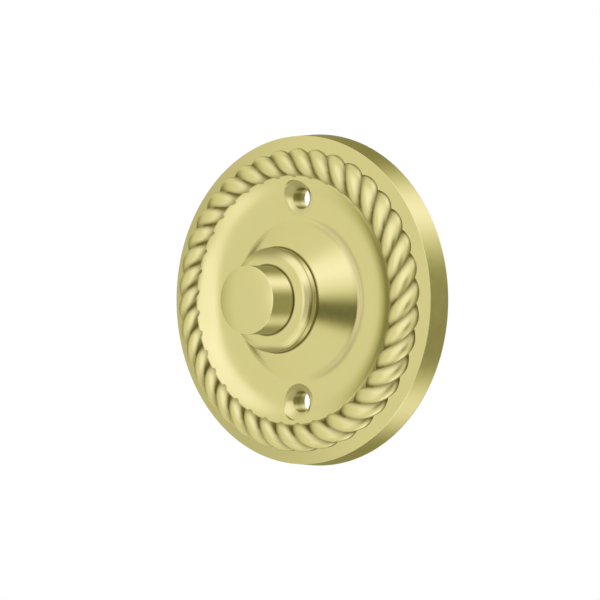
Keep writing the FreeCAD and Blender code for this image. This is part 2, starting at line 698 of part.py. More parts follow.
def flat_strip(name, corners, place, thickness):
    """A strip of sheet metal: its edge outline (x, front) padded to its width, then pierced."""
    body = new_body(name + "_strip")
    sketch = sketch_on(body, name + "_edge", "XY_Plane")
    outline(sketch, corners)
    pad = body.newObject("PartDesign::Pad", name + "_pad")
    pad.Profile = sketch
    pad.Midplane = True
    bind(pad, Length="strip_width")
    doc.recompute()
    hole = along_front("Cylinder", name + "_hole", place, "barrel_end_front",
                       Radius="insert_neck_radius", Height=thickness)
    return boolean("Cut", name + "_cut", body, hole)


def contacts():
    """The fixed strip on the left terminal, the sprung leaf on the right one, and their contacts."""
    keep("fixed_contact_strip", flat_strip("fixed_strip", [
        ("-strip_end", "barrel_end_front"),
        ("-strip_tip", "barrel_end_front"),
        ("-strip_tip", "strip_front"),
        ("-strip_end", "strip_front"),
    ], "-terminal_offset", "strip_thickness"))
    keep("moving_contact_leaf", flat_strip("leaf", [
        ("strip_end", "barrel_end_front"),
        ("strip_end", "leaf_foot_front"),
        ("leaf_rise_outer", "leaf_foot_front"),
        ("leaf_rise_inner", "leaf_front"),
        ("-leaf_tip", "leaf_front"),
        ("-leaf_tip", "leaf_back_front"),
        ("leaf_rise_inner - leaf_thickness / 2", "leaf_back_front"),
        ("leaf_rise_outer - leaf_thickness / 2", "barrel_end_front"),
    ], "terminal_offset", "leaf_thickness"))
    for name, back in (("fixed_contact", "strip_front"), ("moving_contact", "moving_contact_front")):
        keep(name, along_front("Cylinder", name + "_silver", "-contact_offset", back,
                               Radius="contact_radius", Height="contact_height"))


def terminals():
    """On each side: a brass insert spun over its strip, a slotted screw and a washer behind."""
    for side, hand, head_back in ((-1, "left", "strip_front"), (1, "right", "leaf_foot_front")):
        place = f"{side} * terminal_offset"
        insert = turned(f"insert_{hand}", [
            ("insert_hole_radius", "base_back_front"),
            ("insert_radius", "base_back_front"),
            ("insert_radius", "barrel_end_front"),
            ("insert_neck_radius", "barrel_end_front"),
            ("insert_neck_radius", head_back),
            ("insert_head_radius", head_back),
            ("insert_head_radius", f"{head_back} + insert_head"),
            ("0", f"{head_back} + insert_head"),
            ("0", "insert_hole_front"),
            ("insert_hole_radius", "insert_hole_front"),
        ])
        shift(insert, place)
        keep(f"terminal_insert_{hand}", insert)
        washer = turned(f"washer_{hand}", [
            ("insert_hole_radius", "washer_back_front"),
            ("terminal_washer_radius", "washer_back_front"),
            ("terminal_washer_radius", "base_back_front"),
            ("insert_hole_radius", "base_back_front"),
        ])
        shift(washer, place)
        keep(f"terminal_washer_{hand}", washer)
        screw = turned(f"screw_{hand}", [
            ("0", "screw_end_front"),
            ("screw_radius", "screw_end_front"),
            ("screw_radius", "washer_back_front"),
            ("screw_head_radius", "washer_back_front"),
            ("screw_head_radius", "screw_back_front"),
            ("0", "screw_back_front"),
        ])
        shift(screw, place)
        slot = doc.addObject("Part::Box", f"slot_{hand}")
        bind(slot, Length="screw_slot", Width="screw_slot_depth", Height="2 * screw_head_radius")
        shift(slot, f"{place} - screw_slot / 2", "slot_floor_front", "-screw_head_radius")
        keep(f"terminal_screw_{hand}", boolean("Cut", f"slotted_{hand}", screw, slot))


def check_and_write():
    """Stop at anything that failed, then write one file for each node."""
    doc.recompute()
    failed = [thing.Name for thing in doc.Objects if {"Invalid", "Error"} & set(thing.State)]
    if failed:
        raise RuntimeError("failed: " + ", ".join(failed))
    for name, thing in NODES.items():
        if thing.Shape.isNull() or not thing.Shape.isValid() or not thing.Shape.Solids:
            raise RuntimeError(f"{name} has no sound solid")
    os.makedirs("parts", exist_ok=True)
    for name, thing in NODES.items():
        thing.Shape.exportStep(f"parts/{name}.step")


fill_sheet()
rope_edge_plate()
button_collar()
lock_washer()
clamp_nut()
push_button()
plunger()
return_spring()
spring_seat()
switch_base()
contacts()
terminals()
check_and_write()
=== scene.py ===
"""A round rope-edged brass doorbell push, dressed over its solid model.

Sizes are millimetres in the property groups and metres in the meshes. The wall plane is Y = 0,
the button looks along -Y and Z is up. A front is a distance from the wall towards the viewer, so
a point at front f has Y = -f.
"""

import math

import bmesh
import bpy
import numpy as np
from bpy.props import FloatProperty, FloatVectorProperty, IntProperty, PointerProperty
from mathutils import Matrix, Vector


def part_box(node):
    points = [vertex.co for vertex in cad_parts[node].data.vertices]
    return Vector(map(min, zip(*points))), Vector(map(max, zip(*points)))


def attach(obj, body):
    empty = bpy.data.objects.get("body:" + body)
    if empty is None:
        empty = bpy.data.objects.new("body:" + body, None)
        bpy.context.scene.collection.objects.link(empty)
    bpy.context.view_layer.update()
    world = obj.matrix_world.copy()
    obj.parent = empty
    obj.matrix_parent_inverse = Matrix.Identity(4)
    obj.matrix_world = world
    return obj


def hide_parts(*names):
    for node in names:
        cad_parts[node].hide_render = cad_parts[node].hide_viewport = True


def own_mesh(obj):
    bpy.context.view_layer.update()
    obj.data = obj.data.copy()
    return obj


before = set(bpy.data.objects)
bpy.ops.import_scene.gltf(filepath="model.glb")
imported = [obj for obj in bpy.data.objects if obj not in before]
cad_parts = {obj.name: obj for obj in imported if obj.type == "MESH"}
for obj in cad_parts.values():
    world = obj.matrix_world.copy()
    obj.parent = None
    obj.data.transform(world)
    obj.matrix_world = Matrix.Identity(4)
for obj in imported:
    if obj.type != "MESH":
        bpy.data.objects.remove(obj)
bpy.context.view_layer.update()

bl_info = {
    "name": "Rope-edged bell push",
    "version": (1, 0, 0),
    "blender": (4, 5, 0),
    "location": "3D View > Sidebar > Bell push",
    "description": "Brass doorbell push with a twisted rope ring, a domed button and its switch",
    "category": "Object",
}

MM = 0.001
HOUSING = "housing"
BUTTON = "button"


def node_reach(node, axis, side):
    """How far a node reaches along an axis, in millimetres: side 0 is its low end, 1 its high end."""
    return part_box(node)[side][axis] / MM


PLATE_RADIUS = node_reach("rope_edge_plate", 0, 1)
BOSS_FRONT = -node_reach("rope_edge_plate", 1, 0)
COLLAR_RADIUS = node_reach("button_collar", 0, 1)
BARREL_END = -node_reach("button_collar", 1, 1)
BUTTON_FRONT = -node_reach("push_button", 1, 0)
BUTTON_BACK = -node_reach("push_button", 1, 1)
BUTTON_FLANGE_RADIUS = node_reach("push_button", 0, 1)
SEAT_FRONT = -node_reach("spring_seat_disc", 1, 0)
SPRING_FRONT = -node_reach("button_return_spring", 1, 0)
SPRING_RADIUS = node_reach("button_return_spring", 0, 1)
# The plate's pierced ring between these radii is a grid of its own, with a patch round each hole
# that is this many columns wide to either side. Its rows crowd towards the hole by the power.
RING_INNER = 14.6
RING_OUTER = 22.15
RING_ROWS = 44
COLUMNS = 480
PATCH_HALF = 18
PATCH_ROWS = 12
PATCH_POWER = 1.4
# Shares of the way down a countersink's cone, and the steps that find its rim.
CONE_ROWS = (0.0, 0.03, 0.25, 0.5, 0.75, 1.0)
RIM_STEPS = 40
# Depths of the grain's bump in metres, on metal and on other stock.
METAL_BUMP = 0.00002
STOCK_BUMP = 0.00003
FLOAT = "NodeSocketFloat"
COLOUR = "NodeSocketColor"
VECTOR = "NodeSocketVector"


class PlateSizes(bpy.types.PropertyGroup):
    """Sizes of the back plate, in millimetres."""

    rim_front_radius: FloatProperty(
        name="Rim front radius", description="Plate radius at its front face", default=29.6)
    rim_thickness: FloatProperty(
        name="Rim thickness", description="Front of the flat rim above the wall", default=4.8)
    rim_round: FloatProperty(name="Rim round", description="Round on the rim's front edge", default=0.06)
    edge_round: FloatProperty(name="Edge round", description="Round on the other edges", default=0.12)
    back_land: FloatProperty(name="Back land", description="Width of the ring on the wall", default=3.0)
    back_recess: FloatProperty(name="Back recess", description="Relief behind the plate", default=1.1)
    field_rise: FloatProperty(name="Field rise", description="Field above the rim's face", default=0.25)
    cove_angle: FloatProperty(name="Cove angle", description="Slope at its lip, degrees", default=46.6)
    cove_radius: FloatProperty(name="Cove radius", description="Radius of the cove's lip", default=22.45)
    cove_rise: FloatProperty(name="Cove rise", description="Rise of the cove's lip", default=2.6)
    cove_round: FloatProperty(name="Cove round", description="Radius of the cove's arc", default=7.45)
    boss_radius: FloatProperty(name="Boss radius", description="Radius of the boss's top", default=9.5)
    boss_angle: FloatProperty(name="Boss angle", description="Slope of the boss, degrees", default=53.3)
    boss_round: FloatProperty(name="Boss round", description="Round at the boss's foot", default=1.6)
    bore_radius: FloatProperty(name="Bore radius", description="Hole for the barrel", default=8.0)
    nut_radius: FloatProperty(name="Nut pocket radius", description="Pocket for the nut", default=11.7)
    nut_front: FloatProperty(name="Nut pocket front", description="Floor of that pocket", default=6.0)
    hole_offset: FloatProperty(name="Hole offset", description="Screw hole from the axis", default=18.35)
    hole_radius: FloatProperty(name="Hole radius", description="Screw hole radius", default=1.95)
    sink_radius: FloatProperty(name="Countersink radius", description="Countersink radius", default=3.3)
    sink_rise: FloatProperty(name="Countersink rise", description="Rise of its full radius", default=0.9)


class RopeSizes(bpy.types.PropertyGroup):
    """Sizes of the rope ring, in millimetres and degrees."""

    strands: IntProperty(name="Strands", description="Twisted strands in the ring", default=37)
    ring_radius: FloatProperty(name="Ring radius", description="Radius of its centre line", default=24.5)
    rise: FloatProperty(name="Rise", description="Centre line above the rim's face", default=0.75)
    crest: FloatProperty(name="Crest radius", description="Section over a strand's crest", default=2.85)
    valley: FloatProperty(name="Valley radius", description="Section between strands", default=2.1)
    twist: FloatProperty(name="Twist", description="Degrees of turn per radian of section", default=4.3)
    phase: FloatProperty(name="Phase", description="Place of the first valley, degrees", default=0.35)


class TurnedSizes(bpy.types.PropertyGroup):
    """Sizes of the collar and the button, in millimetres."""

    collar_side: FloatProperty(name="Collar side", description="Straight side of the flange", default=1.45)
    groove: FloatProperty(name="Groove", description="Shadow groove under the flange", default=0.16)
    shoulder_radius: FloatProperty(
        name="Shoulder radius", description="Middle of the rounded shoulder", default=8.95)
    shoulder_rise: FloatProperty(
        name="Shoulder rise", description="Middle of the shoulder above the boss", default=1.95)
    lip_radius: FloatProperty(name="Lip radius", description="Where shoulder and face meet", default=8.1)
    lip_drop: FloatProperty(name="Lip drop", description="Fall of the face to the shoulder", default=0.35)
    face_rise: FloatProperty(name="Face rise", description="Face at the bore above the boss", default=2.7)
    barrel_radius: FloatProperty(name="Barrel radius", description="Threaded barrel", default=7.9)
    barrel_bore: FloatProperty(name="Barrel bore", description="Bore behind the guide", default=7.0)
    guide_radius: FloatProperty(name="Guide radius", description="Bore that guides the button", default=6.2)
    guide_length: FloatProperty(name="Guide length", description="Length of the guide bore", default=5.1)
    thread_pitch: FloatProperty(name="Thread pitch", description="Pitch of the barrel's thread", default=0.9)
    thread_depth: FloatProperty(name="Thread depth", description="Depth of that thread", default=0.35)
    button_radius: FloatProperty(name="Button radius", description="Radius of the button", default=6.12)
    button_dome: FloatProperty(name="Button dome", description="Height of its dome", default=0.9)
    button_flange: FloatProperty(name="Button flange", description="Thickness of its flange", default=1.2)
    cavity_radius: FloatProperty(name="Cavity radius", description="Bore for the spring", default=4.4)
    roof: FloatProperty(name="Roof", description="Metal over that bore", default=5.1)
    small_round: FloatProperty(name="Small round", description="Round on turned edges", default=0.12)


class BrassFinish(bpy.types.PropertyGroup):
    """Colours and sheen of the brass, and the tint of its painted shade."""

    brass: FloatVectorProperty(
        name="Brass", description="Colour of the brass, linear", subtype="COLOR", size=3,
        default=(0.857, 0.778, 0.336), min=0.0, max=1.0)
    # Painted shade: the tint that darkens the brass in recesses and on its shaded sides.
    recess: FloatVectorProperty(
        name="Recess tint", description="What the brass is multiplied by where it is sunk",
        subtype="COLOR", size=3, default=(0.20, 0.17, 0.08), min=0.0, max=1.0)
    roughness: FloatProperty(
        name="Roughness", description="Satin roughness", default=0.21, min=0.0, max=1.0)
    rope_softer: FloatProperty(
        name="Rope softer", description="Roughness that the rope has more", default=0.15)


def sizes():
    """The scene's property groups, under short names."""
    scene = bpy.context.scene
    return scene.push_plate, scene.push_rope, scene.push_turned, scene.push_finish


def rounded(corners, steps=6):
    """An outline of (radius, front) points from corners of (radius, front, round).

    A corner with a round is replaced by the arc of that radius that touches both of its sides,
    sampled at equal angles; a corner without one stays a point.
    """
    corners = [np.array(corner, float) for corner in corners]
    points = [corners[0][:2]]
    for before, here, after in zip(corners, corners[1:], corners[2:]):
        if here[2] <= 0:
            points.append(here[:2])
            continue
        back = before[:2] - here[:2]
        on = after[:2] - here[:2]
        back /= np.linalg.norm(back)
        on /= np.linalg.norm(on)
        half = 0.5 * math.acos(np.clip(back @ on, -1, 1))
        centre = here[:2] + (back + on) / np.linalg.norm(back + on) * here[2] / math.sin(half)
        first = here[:2] + back * here[2] / math.tan(half) - centre
        last = here[:2] + on * here[2] / math.tan(half) - centre
        sweep = math.pi - 2 * half
        share = np.linspace(0, 1, steps + 1)[:, None]
        weights = np.sin((1 - share) * sweep), np.sin(share * sweep)
        points.extend(centre + (first * weights[0] + last * weights[1]) / math.sin(sweep))
    points.append(corners[-1][:2])
    return np.array(points)


def divided(profile, longest=0.3):
    """The same outline with its straight stretches cut so that none is longer than this."""
    points = [profile[:1]]
    for start, end in zip(profile, profile[1:]):
        cuts = max(1, math.ceil(np.linalg.norm(end - start) / longest))
        share = np.arange(1, cuts + 1)[:, None] / cuts
        points.append(start + (end - start) * share)
    return np.concatenate(points)


def swept(profile, angles):
    """A profile of (radius, front) turned about the Y axis: rows follow it, columns the angles."""
    radius, front = profile[:, :1], profile[:, 1:]
    around = np.asarray(angles)[None, :]
    flat = [radius * np.cos(around), -front + 0 * around, radius * np.sin(around)]
    return np.stack(flat, axis=-1)


def full_turn(columns):
    """Equal angles all round, with the first one repeated at the end."""
    return np.linspace(0, 2 * math.pi, columns + 1)


def surface_piece(name, grids, sharp=32.0, weld=2e-6):
    """One mesh object from grids of points in millimetres.

    Each grid of rows by columns becomes quads between neighbours; the grids are welded where
    they meet, faces are turned outwards, and edges past the sharp angle stay crisp.
    """
    vertices, faces, base = [], [], 0
    for grid in grids:
        rows, columns = grid.shape[:2]
        index = np.arange(rows * columns).reshape(rows, columns) + base
        quads = np.stack([index[:-1, :-1], index[1:, :-1], index[1:, 1:], index[:-1, 1:]], axis=-1)
        vertices.append(grid.reshape(-1, 3) * MM)
        faces.append(quads.reshape(-1, 4))
        base += rows * columns
    mesh = bpy.data.meshes.new(name)
    mesh.from_pydata(np.concatenate(vertices), [], np.concatenate(faces).tolist())
    work = bmesh.new()
    work.from_mesh(mesh)
    bmesh.ops.remove_doubles(work, verts=work.verts, dist=weld)
    bmesh.ops.dissolve_degenerate(work, dist=weld / 10, edges=work.edges)
    bmesh.ops.recalc_face_normals(work, faces=work.faces)
    work.to_mesh(mesh)
    work.free()
    mesh.shade_smooth()
    mesh.set_sharp_from_angle(angle=math.radians(sharp))
    piece = bpy.data.objects.new(name, mesh)
    bpy.context.scene.collection.objects.link(piece)
    return piece


def mark_painted_shade(piece, depth):
    """Store on each point its painted shade, 0 to 1, for the brass to darken there.

    depth takes the points in millimetres, as rows of x, y and z.
    """
    mesh = piece.data
    points = np.empty(len(mesh.vertices) * 3)
    mesh.vertices.foreach_get("co", points)
    painted_shade = np.clip(depth(points.reshape(-1, 3) / MM), 0, 1)
    layer = mesh.attributes.new("PaintedShade", "FLOAT", "POINT")
    layer.data.foreach_set("value", painted_shade.astype(np.float32))


def fade(value, low, high):
    """0 below low, 1 above high and a smooth cubic step between; low may lie above high."""
    share = np.clip((value - low) / (high - low), 0, 1)
    return share * share * (3 - 2 * share)


def smooth_copy(node, name, bevel=0.0):
    """A welded copy of a CAD node with smooth rounds, crisp edges and a small bevel, in mm."""
    piece = bpy.data.objects.new(name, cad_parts[node].data.copy())
    bpy.context.scene.collection.objects.link(piece)
    work = bmesh.new()
    work.from_mesh(piece.data)
    bmesh.ops.remove_doubles(work, verts=work.verts, dist=1e-6)
    flat = math.radians(1.0)
    bmesh.ops.dissolve_limit(work, angle_limit=flat, verts=work.verts, edges=work.edges)
    work.to_mesh(piece.data)
    work.free()
    piece.data.materials.clear()
    piece.data.shade_smooth()
    piece.data.set_sharp_from_angle(angle=math.radians(30.0))
    if bevel:
        cut = piece.modifiers.new("edge", "BEVEL")
        cut.width = bevel * MM
        cut.segments = 2
        cut.limit_method = "ANGLE"
        cut.angle_limit = math.radians(40.0)
        cut.harden_normals = True
    return piece


def settle(piece, node, body, material):
    """The piece stands for its CAD node, rides on its body and takes its finish.

    Polished metal shows the studio, not its neighbours, so pieces are hidden from reflections.
    """
    piece.visible_glossy = False
    piece.data.materials.append(material)
    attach(piece, body)
    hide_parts(node)
    return piece


def give_way(piece):
    """The piece gets a mesh of its own, apart from its CAD node's."""
    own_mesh(piece)


def shared_group(name, inputs, outputs):
    """A new node group with its sockets, as (group, input node, output node).

    inputs has rows of name, kind and default or None, and outputs rows of name and kind.
    """
    group = bpy.data.node_groups.new(name, "ShaderNodeTree")
    for label, kind, default in inputs:
        new = group.interface.new_socket(name=label, in_out="INPUT", socket_type=kind)
        if default is not None:
            new.default_value = default
    for label, kind in outputs:
        group.interface.new_socket(name=label, in_out="OUTPUT", socket_type=kind)
    return group, group.nodes.new("NodeGroupInput"), group.nodes.new("NodeGroupOutput")


def metal_grain_group():
    """Shared group: a fine irregular grain for cast and polished metal.

    Two noises of different size are mixed; the value drives roughness and a faint bump, and the
    colour output varies the metal's own colour by a few percent.
    """
    name = "Metal grain"
    if name in bpy.data.node_groups:
        return bpy.data.node_groups[name]
    group, given, result = shared_group(name, [
        ("Colour", COLOUR, (0.8, 0.8, 0.8, 1.0)), ("Grain size", FLOAT, 900.0),
        ("Cloud size", FLOAT, 60.0), ("Variation", FLOAT, 0.05), ("Roughness", FLOAT, 0.3),
        ("Roughness spread", FLOAT, 0.06),
    ], [("Colour", COLOUR), ("Roughness", FLOAT), ("Height", FLOAT)])
    links = group.links
    place = group.nodes.new("ShaderNodeTexCoord").outputs["Object"]
    grain = noise(group, place, given.outputs["Grain size"], detail=3.0)
    cloud = noise(group, place, given.outputs["Cloud size"])
    centred = maths(group, "SUBTRACT", maths(group, "ADD", grain, cloud), 1.0)
    spread = maths(group, "MULTIPLY", centred, given.outputs["Roughness spread"])
    rough = maths(group, "ADD", given.outputs["Roughness"], spread)
    tint = maths(group, "MULTIPLY", maths(group, "SUBTRACT", cloud, 0.5), given.outputs["Variation"])
    scale = group.nodes.new("ShaderNodeVectorMath")
    scale.operation = "SCALE"
    links.new(given.outputs["Colour"], scale.inputs[0])
    links.new(maths(group, "ADD", tint, 1.0), scale.inputs["Scale"])
    links.new(scale.outputs["Vector"], result.inputs["Colour"])
    links.new(rough, result.inputs["Roughness"])
    links.new(grain, result.inputs["Height"])
    return group


def turning_marks_group():
    """Shared group: fine rings left by the lathe, round the Y axis.

    The height is a noise of the distance from the axis and of the place along it, so that it
    is the same all round.
    """
    name = "Turning marks"
    if name in bpy.data.node_groups:
        return bpy.data.node_groups[name]
    group, given, result = shared_group(name, [("Marks per metre", FLOAT, 4000.0)],
                                        [("Height", FLOAT)])
    nodes, links = group.nodes, group.links
    place = nodes.new("ShaderNodeTexCoord")
    split = nodes.new("ShaderNodeSeparateXYZ")
    links.new(place.outputs["Object"], split.inputs["Vector"])
    square_x = maths(group, "MULTIPLY", split.outputs["X"], split.outputs["X"])
    square_z = maths(group, "MULTIPLY", split.outputs["Z"], split.outputs["Z"])
    radius = maths(group, "SQRT", maths(group, "ADD", square_x, square_z))
    join = nodes.new("ShaderNodeCombineXYZ")
    links.new(maths(group, "MULTIPLY", radius, given.outputs["Marks per metre"]), join.inputs["X"])
    along = maths(group, "MULTIPLY", split.outputs["Y"], given.outputs["Marks per metre"])
    links.new(along, join.inputs["Y"])
    links.new(noise(group, join.outputs["Vector"], 1.0), result.inputs["Height"])
    return group


def plug(tree, item, slot):
    """Link a socket to an input, or set the input to a number."""
    if isinstance(item, bpy.types.NodeSocket):
        tree.links.new(item, slot)
    else:
        slot.default_value = item


def maths(tree, operation, first, second=0.0):
    """The output of a Math node; each input is a socket or a number."""
    node = tree.nodes.new("ShaderNodeMath")
    node.operation = operation
    for slot, item in zip(node.inputs, (first, second)):
        plug(tree, item, slot)
    return node.outputs["Value"]


def noise(tree, vector, scale, detail=2.0):
    """The output of a Noise node; its scale is a socket or a number."""
    node = tree.nodes.new("ShaderNodeTexNoise")
    node.inputs["Detail"].default_value = detail
    plug(tree, scale, node.inputs["Scale"])
    tree.links.new(vector, node.inputs["Vector"])
    return node.outputs["Fac"]


def ramped(tree, value, ramp, smooth=True):
    """A Map Range of the value along a ramp (from, to, value there and there), held beyond it."""
    node = tree.nodes.new("ShaderNodeMapRange")
    node.interpolation_type = "SMOOTHSTEP" if smooth else "LINEAR"
    for name, item in zip(("Value", "From Min", "From Max", "To Min", "To Max"), (value, *ramp)):
        plug(tree, item, node.inputs[name])
    return node.outputs["Result"]


def joined_colour(tree, red, green, blue):
    """A colour from three sockets."""
    join = tree.nodes.new("ShaderNodeCombineColor")
    for slot, item in zip(join.inputs, (red, green, blue)):
        tree.links.new(item, slot)
    return join.outputs["Color"]


def new_material(name):
    """An empty node material with its Principled shader, as (material, tree, shader)."""
    material = bpy.data.materials.new(name)
    material.use_nodes = True
    return material, material.node_tree, material.node_tree.nodes["Principled BSDF"]


def place_group(tree, group, **values):
    """A shared group placed in a material, with its own values: underscores stand for spaces."""
    node = tree.nodes.new("ShaderNodeGroup")
    node.node_tree = group
    for name, item in values.items():
        node.inputs[name.replace("_", " ")].default_value = item
    return node


def bumped(tree, shader, height, distance, strength):
    """A Bump node from a height to the shader's normal."""
    bump = tree.nodes.new("ShaderNodeBump")
    bump.inputs["Distance"].default_value = distance
    bump.inputs["Strength"].default_value = strength
    tree.links.new(height, bump.inputs["Height"])
    tree.links.new(bump.outputs["Normal"], shader.inputs["Normal"])


def with_painted_shade(tree, colour, dark):
    """Painted shade: the colour multiplied by a darker one where the mesh's PaintedShade attribute says so.
    """
    mark = tree.nodes.new("ShaderNodeAttribute")
    mark.attribute_name = "PaintedShade"
    mix = tree.nodes.new("ShaderNodeMix")
    mix.data_type = "RGBA"
    mix.blend_type = "MULTIPLY"
    first, second = [slot for slot in mix.inputs if slot.type == "RGBA"]
    tree.links.new(mark.outputs["Fac"], mix.inputs["Factor"])
    tree.links.new(colour, first)
    second.default_value = (*dark, 1.0)
    return [slot for slot in mix.outputs if slot.type == "RGBA"][0]


def grained_metal(name, colour, roughness, variation=0.05, bump=0.05, turned=False, dark=None):
    """A metal with the shared grain, lathe rings where it was turned and painted shade in its recesses.

    Seen edge on, its reflection is halfway between its own colour and white.
    """
    if name in bpy.data.materials:
        return bpy.data.materials[name]
    material, tree, shader = new_material(name)
    shader.inputs["Metallic"].default_value = 1.0
    edge = tuple((1 + channel) / 2 for channel in colour)
    shader.inputs["Specular Tint"].default_value = (*edge, 1.0)
    grain = place_group(tree, metal_grain_group(), Colour=(*colour, 1.0), Roughness=roughness,
                        Variation=variation)
    shade = grain.outputs["Colour"]
    # Painted shade: the dark tint darkens the colour where the mesh's attribute says so.
    if dark:
        shade = with_painted_shade(tree, shade, dark)
    tree.links.new(shade, shader.inputs["Base Color"])
    tree.links.new(grain.outputs["Roughness"], shader.inputs["Roughness"])
    height = grain.outputs["Height"]
    if turned:
        rings = place_group(tree, turning_marks_group())
        height = maths(tree, "ADD", maths(tree, "MULTIPLY", height, 0.4), rings.outputs["Height"])
    bumped(tree, shader, height, METAL_BUMP, bump)
    return material


def plain_stock(name, colour, roughness, variation=0.2, spread=0.15, bump=0.2):
    """Moulding, nylon and fibre: a stock that isn't metal, with a faint grain."""
    material, tree, shader = new_material(name)
    grain = place_group(tree, metal_grain_group(), Colour=(*colour, 1.0), Roughness=roughness,
                        Variation=variation, Roughness_spread=spread)
    tree.links.new(grain.outputs["Colour"], shader.inputs["Base Color"])
    tree.links.new(grain.outputs["Roughness"], shader.inputs["Roughness"])
    bumped(tree, shader, grain.outputs["Height"], STOCK_BUMP, bump)
    return material


def brass(name, softer=0.0, turned=False):
    """The satin brass of one kind of piece, softer by this much roughness, with painted shade where its mesh
    is marked.
    """
    finish = sizes()[3]
    return grained_metal(name, tuple(finish.brass), finish.roughness + softer, variation=0.03,
                         bump=0.04, turned=turned, dark=tuple(finish.recess))


def plate_outlines():
    """The plate's inner and outer outlines, and the front of the pierced ring between them.

    Under the rope the plate steps down from the cove's lip to the rim's face.
    """
    plate, rope = sizes()[:2]
    rim = plate.rim_thickness
    step_width, step_rise = 0.9, 0.4
    field = rim + plate.field_rise
    lip = rim + plate.cove_rise
    cove_foot = plate.cove_radius - (lip - field) / math.tan(math.radians(plate.cove_angle))
    boss_foot = plate.boss_radius + (BOSS_FRONT - field) / math.tan(math.radians(plate.boss_angle))
    land = PLATE_RADIUS - plate.back_land
    edge = plate.edge_round
    front = rounded([
        (plate.bore_radius, BOSS_FRONT, 0), (plate.boss_radius, BOSS_FRONT, edge),
        (boss_foot, field, plate.boss_round), (cove_foot, field, plate.cove_round),
        (plate.cove_radius, lip, 0),
    ], steps=28)
    inner_front = front[front[:, 0] < RING_INNER]
    outer_front = front[front[:, 0] > RING_OUTER]

    def ring_front(radius):
        """Front of the field and the cove at this distance from the axis."""
        return np.interp(radius, front[:, 0], front[:, 1])

    recess = plate.back_recess
    inner = np.concatenate([
        [(RING_INNER, ring_front(RING_INNER))], inner_front[::-1],
        rounded([
            (plate.bore_radius, BOSS_FRONT, 0), (plate.bore_radius, plate.nut_front, edge),
            (plate.nut_radius, plate.nut_front, edge), (plate.nut_radius, recess, edge),
            (RING_INNER, recess, 0),
        ])[1:],
    ])
    outer = np.concatenate([
        [(RING_OUTER, ring_front(RING_OUTER))], outer_front,
        rounded([
            (plate.cove_radius, lip, 0), (plate.cove_radius + step_width, rim + step_rise, 0),
            (rope.ring_radius, rim, 0), (plate.rim_front_radius, rim, plate.rim_round),
            (PLATE_RADIUS, 0, edge), (land, 0, edge), (land, recess, edge), (RING_OUTER, recess, 0),
        ])[1:],
    ])
    return inner, outer, ring_front


def ring_sectors(angles, radii, height):
    """The pierced ring away from the holes: a polar grid at the height of its radius."""
    profile = np.stack([radii, height(radii)], axis=1)
    quarter = COLUMNS // 4
    stretches = ((quarter + PATCH_HALF, 3 * quarter - PATCH_HALF),
                 (3 * quarter + PATCH_HALF, 5 * quarter - PATCH_HALF))
    return [swept(profile, angles[first:last + 1]) for first, last in stretches]


def patch_border(angles, radii, side):
    """Points round one sector of the ring, in the plane of the plate, as (x, z)."""
    middle = COLUMNS // 4 if side > 0 else 3 * COLUMNS // 4
    arc = angles[middle - PATCH_HALF:middle + PATCH_HALF + 1]
    inner = [(radii[0], angle) for angle in arc]
    left = [(radius, arc[-1]) for radius in radii[1:]]
    outer = [(radii[-1], angle) for angle in arc[::-1][1:]]
    right = [(radius, arc[0]) for radius in radii[::-1][1:]]
    polar = np.array(inner + left + outer + right)
    return polar[:, :1] * np.stack([np.cos(polar[:, 1]), np.sin(polar[:, 1])], axis=1)


def hole_patch(border, centre, rim_radius, height):
    """Grid between a hole's rim and its sector's border: straight lines from rim to border.

    rim_radius gives the rim's distance from the hole's centre for each line.
    """
    away = border - centre
    reach = np.linalg.norm(away, axis=1, keepdims=True)
    rim = centre + away / reach * rim_radius[:, None]
    share = np.linspace(0, 1, PATCH_ROWS)[:, None, None] ** PATCH_POWER
    flat = rim[None] * (1 - share) + border[None] * share
    radius = np.linalg.norm(flat, axis=2)
    return np.stack([flat[..., 0], -height(radius), flat[..., 1]], axis=-1)


def countersink(border, centre, height):
    """A hole's wall and its rim: (rim radius for each line, wall grid).

    The cone climbs at 45 degrees from the throat to the full radius, and a straight wall goes
    on where the field is higher. The rim is where that meets the field, found by stepping
    towards the height at which both agree.
    """
    plate = sizes()[0]
    full = plate.rim_thickness + plate.sink_rise
    away = border - centre
    away = away / np.linalg.norm(away, axis=1, keepdims=True)
    rim = np.full(len(border), plate.sink_radius)
    for _ in range(RIM_STEPS):
        field = height(np.linalg.norm(centre + away * rim[:, None], axis=1))
        rim = np.minimum(plate.sink_radius, plate.sink_radius - (full - field))
    field = height(np.linalg.norm(centre + away * rim[:, None], axis=1))
    throat_front = full - (plate.sink_radius - plate.hole_radius)
    top = np.minimum(field, full)
    rows = [(rim, field)]
    for share in CONE_ROWS:
        rows.append((rim + (plate.hole_radius - rim) * share, top + (throat_front - top) * share))
    throat = np.full_like(rim, plate.hole_radius)
    rows += [(throat, np.full_like(rim, 0.5 * (throat_front + plate.back_recess))),
             (throat, np.full_like(rim, plate.back_recess))]
    grid = []
    for radius, front in rows:
        flat = centre + away * radius[:, None]
        grid.append(np.stack([flat[:, 0], -front, flat[:, 1]], axis=-1))
    return rim, np.array(grid)


def plate_grids():
    """All grids of the plate: turned parts, the pierced ring in front and behind, the holes."""
    plate = sizes()[0]
    inner, outer, ring_front = plate_outlines()
    angles = full_turn(COLUMNS)
    more_angles = np.concatenate([angles, angles[1:] + 2 * math.pi])
    radii = np.linspace(RING_INNER, RING_OUTER, RING_ROWS + 1)

    def flat_back(radius):
        """Front of the relief behind the plate, the same at every distance from the axis."""
        return np.full_like(radius, plate.back_recess)

    grids = [swept(divided(inner), angles), swept(divided(outer), angles)]
    for height in (ring_front, flat_back):
        grids += ring_sectors(more_angles, radii, height)
    for side in (1, -1):
        border = patch_border(angles, radii, side)
        centre = np.array([0.0, side * plate.hole_offset])
        rim, wall = countersink(border, centre, ring_front)
        throat = np.full(len(border), plate.hole_radius)
        grids += [hole_patch(border, centre, rim, ring_front), wall,
                  hole_patch(border, centre, throat, flat_back)]
    return grids
